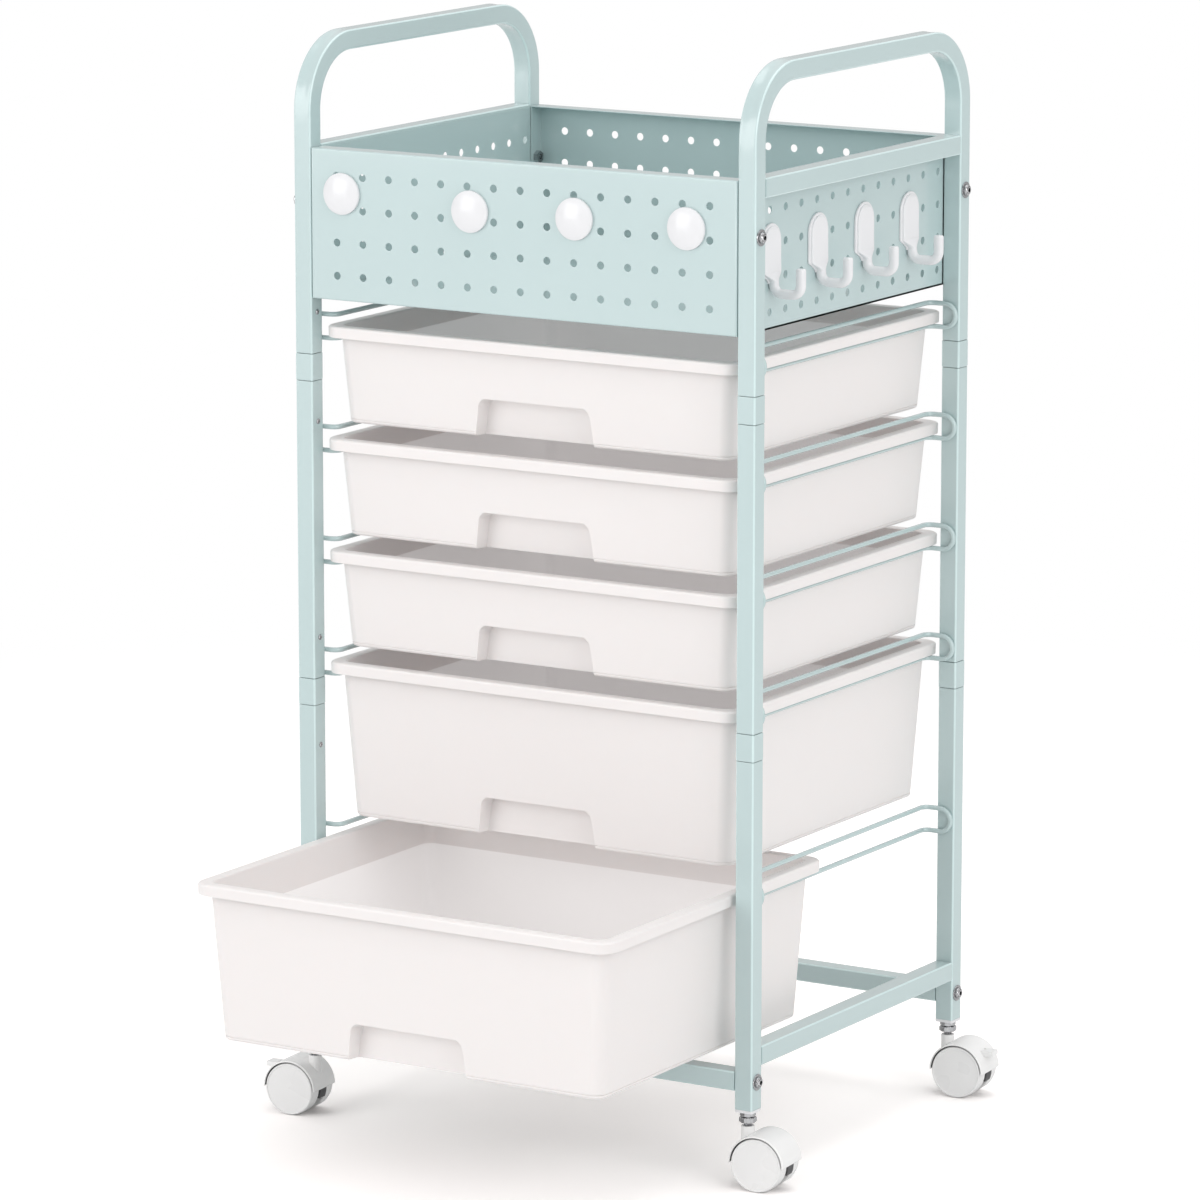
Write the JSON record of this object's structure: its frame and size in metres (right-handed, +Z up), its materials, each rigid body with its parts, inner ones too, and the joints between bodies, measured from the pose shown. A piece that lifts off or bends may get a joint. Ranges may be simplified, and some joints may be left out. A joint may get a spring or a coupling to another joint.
{
  "type": "rolling storage cart",
  "caption": "Rolling craft cart: square-tube frame with two hoop handles, a perforated top basket, slide-out drawers on wire runners and twin-wheel casters.",
  "frame": {"origin": "on the floor, under the middle of the frame's plan", "axes": "+Z up, -Y to the front where the drawers open, +X to the right seen from the front"},
  "size_m": [0.5922, 0.6465, 1.057],
  "materials": {
    "frame_paint": "satin powder coat, pale green",
    "panel_paint": "satin powder coat, pale green",
    "wire_paint": "satin powder coat, pale green",
    "zinc": "zinc plated",
    "plug_plastic": "matt white",
    "drawer_plastic": "satin warm white",
    "white_gloss": "gloss white",
    "caster_plastic": "gloss white"
  },
  "bodies": {
    "root": {"left_handle_frame": "frame_paint", "front_left_middle_post": "frame_paint", "front_left_lower_post": "frame_paint", "rear_left_middle_post": "frame_paint", "rear_left_lower_post": "frame_paint", "left_top_rail": "frame_paint", "left_base_rail": "frame_paint", "left_peg_panel": "panel_paint", "right_handle_frame": "frame_paint", "front_right_middle_post": "frame_paint", "front_right_lower_post": "frame_paint", "rear_right_middle_post": "frame_paint", "rear_right_lower_post": "frame_paint", "right_top_rail": "frame_paint", "right_base_rail": "frame_paint", "right_peg_panel": "panel_paint", "front_cross_bar": "frame_paint", "front_peg_panel": "panel_paint", "rear_cross_bar": "frame_paint", "rear_peg_panel": "panel_paint", "upper_connectors": "frame_paint", "lower_connectors": "frame_paint", "connector_screws": "zinc", "frame_bolts": "zinc", "frame_washers": "zinc", "basket_nuts": "zinc", "post_plugs": "plug_plastic", "basket_floor": "panel_paint", "hooks": "white_gloss", "magnets": "white_gloss", "left_runner_1": "wire_paint", "right_runner_1": "wire_paint", "left_runner_2": "wire_paint", "right_runner_2": "wire_paint", "left_runner_3": "wire_paint", "right_runner_3": "wire_paint", "left_runner_4": "wire_paint", "right_runner_4": "wire_paint", "left_runner_5": "wire_paint", "right_runner_5": "wire_paint", "front_left_stem": "zinc", "front_right_stem": "zinc", "rear_left_stem": "zinc", "rear_right_stem": "zinc"},
    "drawer_1": {"drawer_1": "drawer_plastic"},
    "drawer_2": {"drawer_2": "drawer_plastic"},
    "drawer_3": {"drawer_3": "drawer_plastic"},
    "drawer_4": {"drawer_4": "drawer_plastic"},
    "drawer_5": {"drawer_5": "drawer_plastic"},
    "front_left_swivel": {"front_left_hood": "caster_plastic"},
    "front_left_wheel_pair": {"front_left_wheels": "caster_plastic"},
    "front_left_brake_lever": {"front_left_brake": "caster_plastic"},
    "front_right_swivel": {"front_right_hood": "caster_plastic"},
    "front_right_wheel_pair": {"front_right_wheels": "caster_plastic"},
    "rear_left_swivel": {"rear_left_hood": "caster_plastic"},
    "rear_left_wheel_pair": {"rear_left_wheels": "caster_plastic"},
    "rear_right_swivel": {"rear_right_hood": "caster_plastic"},
    "rear_right_wheel_pair": {"rear_right_wheels": "caster_plastic"},
    "rear_right_brake_lever": {"rear_right_brake": "caster_plastic"}
  },
  "joints": [
    {"name": "drawer_1_slide", "type": "slide", "parent": "root", "child": "drawer_1", "axis": [0, -1, 0], "range_m": [0, 0.3]},
    {"name": "drawer_2_slide", "type": "slide", "parent": "root", "child": "drawer_2", "axis": [0, -1, 0], "range_m": [0, 0.3]},
    {"name": "drawer_3_slide", "type": "slide", "parent": "root", "child": "drawer_3", "axis": [0, -1, 0], "range_m": [0, 0.3]},
    {"name": "drawer_4_slide", "type": "slide", "parent": "root", "child": "drawer_4", "axis": [0, -1, 0], "range_m": [0, 0.3]},
    {"name": "drawer_5_slide", "type": "slide", "parent": "root", "child": "drawer_5", "axis": [0, -1, 0], "range_m": [-0.228, 0.072]},
    {"name": "front_left_swivel_turn", "type": "hinge", "parent": "root", "child": "front_left_swivel", "pos_m": [-0.2447, -0.1962, 0.05], "axis": [0, 0, 1], "continuous": true},
    {"name": "front_left_wheel_spin", "type": "hinge", "parent": "front_left_swivel", "child": "front_left_wheel_pair", "pos_m": [-0.26264, -0.19764, 0.026], "axis": [0.0802, -0.9968, 0], "continuous": true},
    {"name": "front_left_brake_press", "type": "hinge", "parent": "front_left_swivel", "child": "front_left_brake_lever", "pos_m": [-0.2756, -0.19869, 0.043], "axis": [0.0802, -0.9968, 0], "range_deg": [0, 15]},
    {"name": "front_right_swivel_turn", "type": "hinge", "parent": "root", "child": "front_right_swivel", "pos_m": [0.2447, -0.1962, 0.05], "axis": [0, 0, 1], "continuous": true},
    {"name": "front_right_wheel_spin", "type": "hinge", "parent": "front_right_swivel", "child": "front_right_wheel_pair", "pos_m": [0.26264, -0.19476, 0.026], "axis": [-0.0802, 0.9968, 0], "continuous": true},
    {"name": "rear_left_swivel_turn", "type": "hinge", "parent": "root", "child": "rear_left_swivel", "pos_m": [-0.2447, 0.1962, 0.05], "axis": [0, 0, 1], "continuous": true},
    {"name": "rear_left_wheel_spin", "type": "hinge", "parent": "rear_left_swivel", "child": "rear_left_wheel_pair", "pos_m": [-0.26264, 0.19476, 0.026], "axis": [0.0802, -0.9968, 0], "continuous": true},
    {"name": "rear_right_swivel_turn", "type": "hinge", "parent": "root", "child": "rear_right_swivel", "pos_m": [0.2447, 0.1962, 0.05], "axis": [0, 0, 1], "continuous": true},
    {"name": "rear_right_wheel_spin", "type": "hinge", "parent": "rear_right_swivel", "child": "rear_right_wheel_pair", "pos_m": [0.26264, 0.19764, 0.026], "axis": [-0.0802, 0.9968, 0], "continuous": true},
    {"name": "rear_right_brake_press", "type": "hinge", "parent": "rear_right_swivel", "child": "rear_right_brake_lever", "pos_m": [0.2756, 0.19869, 0.043], "axis": [-0.0802, 0.9968, 0], "range_deg": [0, 15]}
  ]
}
